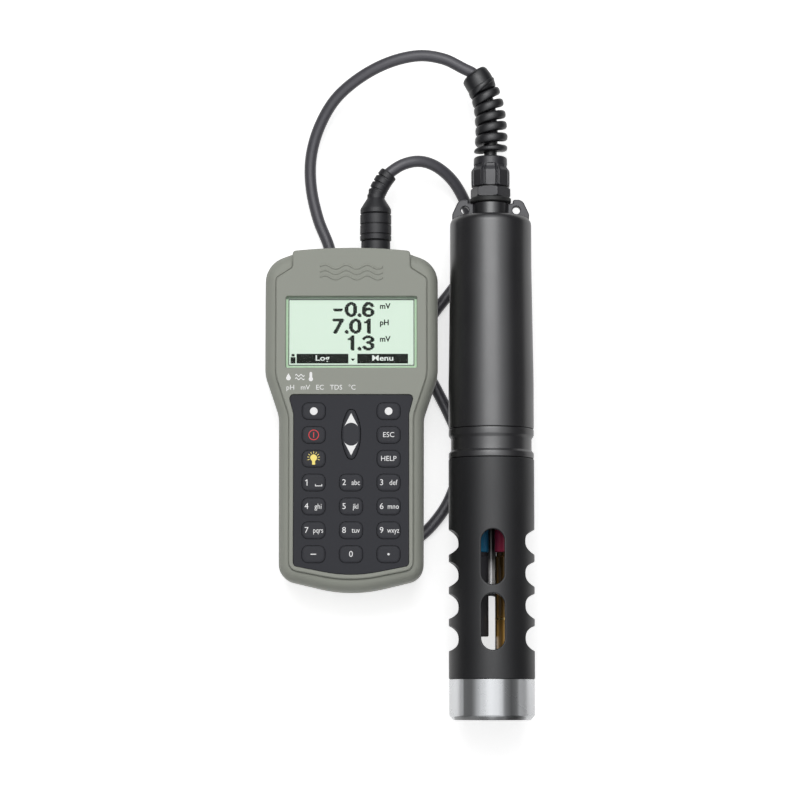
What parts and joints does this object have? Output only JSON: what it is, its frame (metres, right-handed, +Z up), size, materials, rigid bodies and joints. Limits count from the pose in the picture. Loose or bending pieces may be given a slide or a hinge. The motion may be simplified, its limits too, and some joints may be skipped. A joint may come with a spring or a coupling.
{
  "type": "water quality probe",
  "caption": "Handheld water quality instrument lying flat: slotted cylindrical immersion probe with steel foot, joined by a looped cable to a grey keypad meter with a display.",
  "frame": {"origin": "table height under the middle of the box around the whole instrument", "axes": "+Y along the probe from its foot to its cable gland, +X from the meter to the probe, +Z up from the table to the keypad side"},
  "size_m": [0.1448, 0.3638, 0.0526],
  "materials": {
    "case_plastic": "fine satin texture",
    "keypad_rubber": "matte silicone",
    "seal_rubber": "matte",
    "moulded_rubber": "satin moulded",
    "cable_jacket": "satin extruded jacket",
    "black_plastic": "moulded satin",
    "housing_plastic": "turned satin",
    "foot_steel": "turned and polished",
    "stainless_steel": "satin",
    "contact_gold": "plated",
    "circuit_board": "solder mask",
    "battery_wrap": "plain printed wrap",
    "window_clear": "clear polished",
    "display_panel": "backlit liquid crystal panel",
    "ec_body": "satin",
    "ec_collar": "satin",
    "ph_body": "translucent amber",
    "ph_collar": "satin"
  },
  "bodies": {
    "instrument": {"front_case": "case_plastic", "rear_case": "case_plastic", "battery_cover": "case_plastic", "keypad_panel": "keypad_rubber", "case_gasket": "seal_rubber", "battery_gasket": "seal_rubber", "gland_seal": "seal_rubber", "housing_o_ring": "seal_rubber", "shield_o_ring": "seal_rubber", "gland_washer": "seal_rubber", "plug_body": "moulded_rubber", "cable": "cable_jacket", "bend_guard": "black_plastic", "gland_nut": "black_plastic", "gland_body": "black_plastic", "probe_socket": "black_plastic", "housing": "housing_plastic", "sensor_head": "housing_plastic", "temperature_sensor": "stainless_steel", "case_screws": "stainless_steel", "battery_cover_screws": "stainless_steel", "usb_socket": "stainless_steel", "dome_switches": "stainless_steel", "battery_contacts": "stainless_steel", "plug_pins": "contact_gold", "sensor_sockets": "contact_gold", "main_board": "circuit_board", "probe_board": "circuit_board", "batteries": "battery_wrap", "display_window": "window_clear", "display_module": "display_panel", "ec_sensor": "ec_body", "ec_collar": "ec_collar", "ph_sensor": "ph_body", "ph_collar": "ph_collar"},
    "key_soft_left": {"key_soft_left": "keypad_rubber"},
    "key_soft_right": {"key_soft_right": "keypad_rubber"},
    "key_power": {"key_power": "keypad_rubber"},
    "key_escape": {"key_escape": "keypad_rubber"},
    "key_lamp": {"key_lamp": "keypad_rubber"},
    "key_help": {"key_help": "keypad_rubber"},
    "key_1": {"key_1": "keypad_rubber"},
    "key_2": {"key_2": "keypad_rubber"},
    "key_3": {"key_3": "keypad_rubber"},
    "key_4": {"key_4": "keypad_rubber"},
    "key_5": {"key_5": "keypad_rubber"},
    "key_6": {"key_6": "keypad_rubber"},
    "key_7": {"key_7": "keypad_rubber"},
    "key_8": {"key_8": "keypad_rubber"},
    "key_9": {"key_9": "keypad_rubber"},
    "key_minus": {"key_minus": "keypad_rubber"},
    "key_0": {"key_0": "keypad_rubber"},
    "key_point": {"key_point": "keypad_rubber"},
    "key_rocker": {"key_rocker": "keypad_rubber"},
    "plug_collar": {"plug_collar": "moulded_rubber"},
    "usb_cap": {"usb_cap": "seal_rubber"},
    "sensor_guard": {"shield": "housing_plastic", "foot_ring": "foot_steel"}
  },
  "joints": [
    {"name": "key_soft_left_press", "type": "slide", "parent": "instrument", "child": "key_soft_left", "axis": [0, 0, -1], "range_m": [0, 0.001]},
    {"name": "key_soft_right_press", "type": "slide", "parent": "instrument", "child": "key_soft_right", "axis": [0, 0, -1], "range_m": [0, 0.001]},
    {"name": "key_power_press", "type": "slide", "parent": "instrument", "child": "key_power", "axis": [0, 0, -1], "range_m": [0, 0.001]},
    {"name": "key_escape_press", "type": "slide", "parent": "instrument", "child": "key_escape", "axis": [0, 0, -1], "range_m": [0, 0.001]},
    {"name": "key_lamp_press", "type": "slide", "parent": "instrument", "child": "key_lamp", "axis": [0, 0, -1], "range_m": [0, 0.001]},
    {"name": "key_help_press", "type": "slide", "parent": "instrument", "child": "key_help", "axis": [0, 0, -1], "range_m": [0, 0.001]},
    {"name": "key_1_press", "type": "slide", "parent": "instrument", "child": "key_1", "axis": [0, 0, -1], "range_m": [0, 0.001]},
    {"name": "key_2_press", "type": "slide", "parent": "instrument", "child": "key_2", "axis": [0, 0, -1], "range_m": [0, 0.001]},
    {"name": "key_3_press", "type": "slide", "parent": "instrument", "child": "key_3", "axis": [0, 0, -1], "range_m": [0, 0.001]},
    {"name": "key_4_press", "type": "slide", "parent": "instrument", "child": "key_4", "axis": [0, 0, -1], "range_m": [0, 0.001]},
    {"name": "key_5_press", "type": "slide", "parent": "instrument", "child": "key_5", "axis": [0, 0, -1], "range_m": [0, 0.001]},
    {"name": "key_6_press", "type": "slide", "parent": "instrument", "child": "key_6", "axis": [0, 0, -1], "range_m": [0, 0.001]},
    {"name": "key_7_press", "type": "slide", "parent": "instrument", "child": "key_7", "axis": [0, 0, -1], "range_m": [0, 0.001]},
    {"name": "key_8_press", "type": "slide", "parent": "instrument", "child": "key_8", "axis": [0, 0, -1], "range_m": [0, 0.001]},
    {"name": "key_9_press", "type": "slide", "parent": "instrument", "child": "key_9", "axis": [0, 0, -1], "range_m": [0, 0.001]},
    {"name": "key_minus_press", "type": "slide", "parent": "instrument", "child": "key_minus", "axis": [0, 0, -1], "range_m": [0, 0.001]},
    {"name": "key_0_press", "type": "slide", "parent": "instrument", "child": "key_0", "axis": [0, 0, -1], "range_m": [0, 0.001]},
    {"name": "key_point_press", "type": "slide", "parent": "instrument", "child": "key_point", "axis": [0, 0, -1], "range_m": [0, 0.001]},
    {"name": "key_rocker_tilt", "type": "hinge", "parent": "instrument", "child": "key_rocker", "pos_m": [-0.02585, -0.02994, 0.0381], "axis": [1, 0, 0], "range_deg": [-4, 4]},
    {"name": "plug_collar_turn", "type": "hinge", "parent": "instrument", "child": "plug_collar", "pos_m": [-0.01295, 0.08422, 0.0242], "axis": [0, 1, 0], "range_deg": [0, 60]},
    {"name": "usb_cap_pull", "type": "slide", "parent": "instrument", "child": "usb_cap", "axis": [0, 1, 0], "range_m": [0, 0.01]},
    {"name": "sensor_guard_removal", "type": "slide", "parent": "instrument", "child": "sensor_guard", "axis": [0, -1, 0], "range_m": [0, 0.13]}
  ]
}
